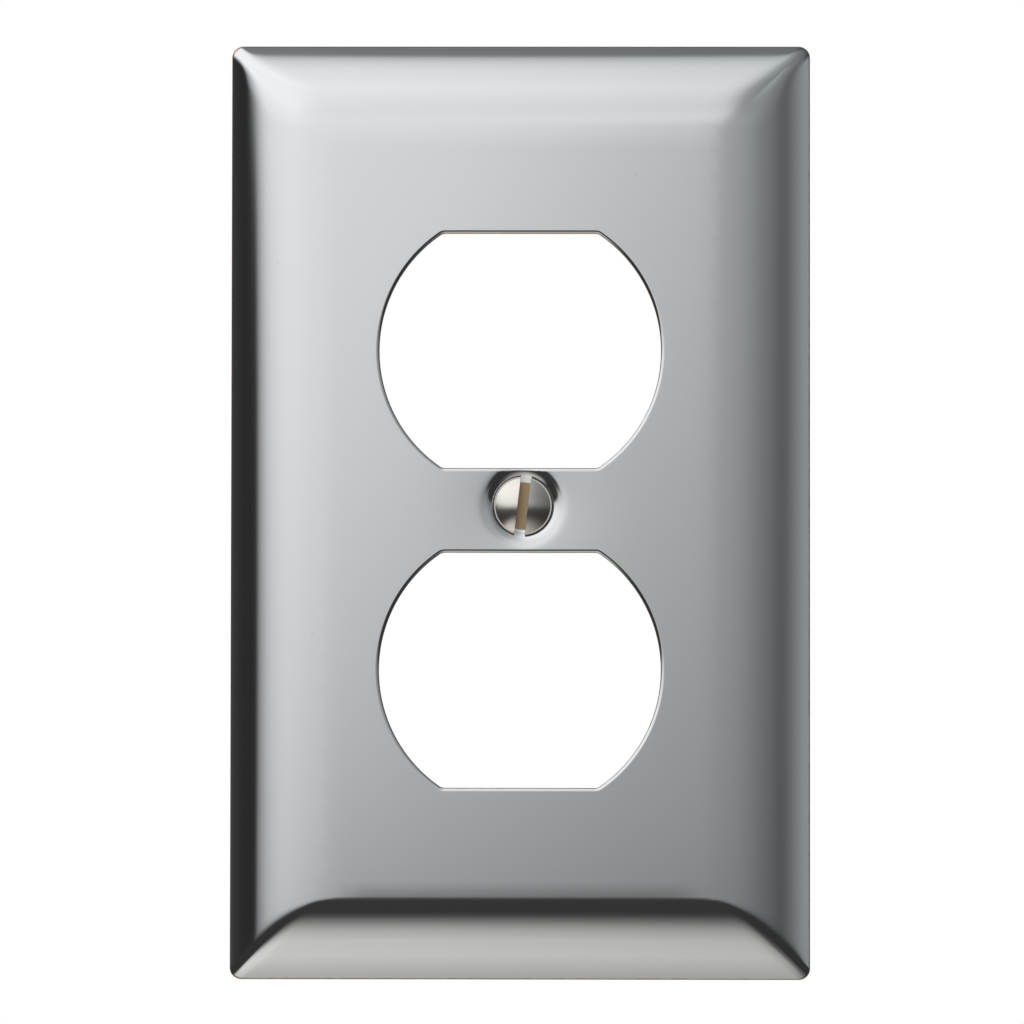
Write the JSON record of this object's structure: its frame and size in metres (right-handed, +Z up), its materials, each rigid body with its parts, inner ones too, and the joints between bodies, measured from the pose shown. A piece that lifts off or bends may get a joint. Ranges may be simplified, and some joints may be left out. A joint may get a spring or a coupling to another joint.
{
  "type": "wall plate cover",
  "caption": "Chrome-plated pressed-sheet cover plate for a duplex receptacle, with a captive slotted oval-head screw and its retaining washer.",
  "frame": {"origin": "the point where the screw's axis meets the wall plane, on which the plate's rim rests", "axes": "+Z up the wall along the plate's long side, +X to the right seen from the front, +Y into the wall along the screw, so the face looks along -Y"},
  "size_m": [0.0709, 0.0137, 0.1143],
  "materials": {
    "plated_sheet": "chrome plate on pressed steel sheet, soft mirror polish",
    "nickel_screw": "nickel plate on steel, slightly warmer than the sheet",
    "fibre_washer": "vulcanised fibre, matt red-brown"
  },
  "bodies": {
    "plate": {"wall_plate": "plated_sheet"},
    "washer": {"captive_washer": "fibre_washer"},
    "screw": {"plate_screw": "nickel_screw"}
  },
  "joints": [
    {"name": "screw_play", "type": "slide", "parent": "plate", "child": "washer", "axis": [0, -1, 0], "range_m": [0, 0.00145]},
    {"name": "screw_turn", "type": "hinge", "parent": "washer", "child": "screw", "pos_m": [0, 0, 0], "axis": [0, 1, 0], "continuous": true}
  ]
}
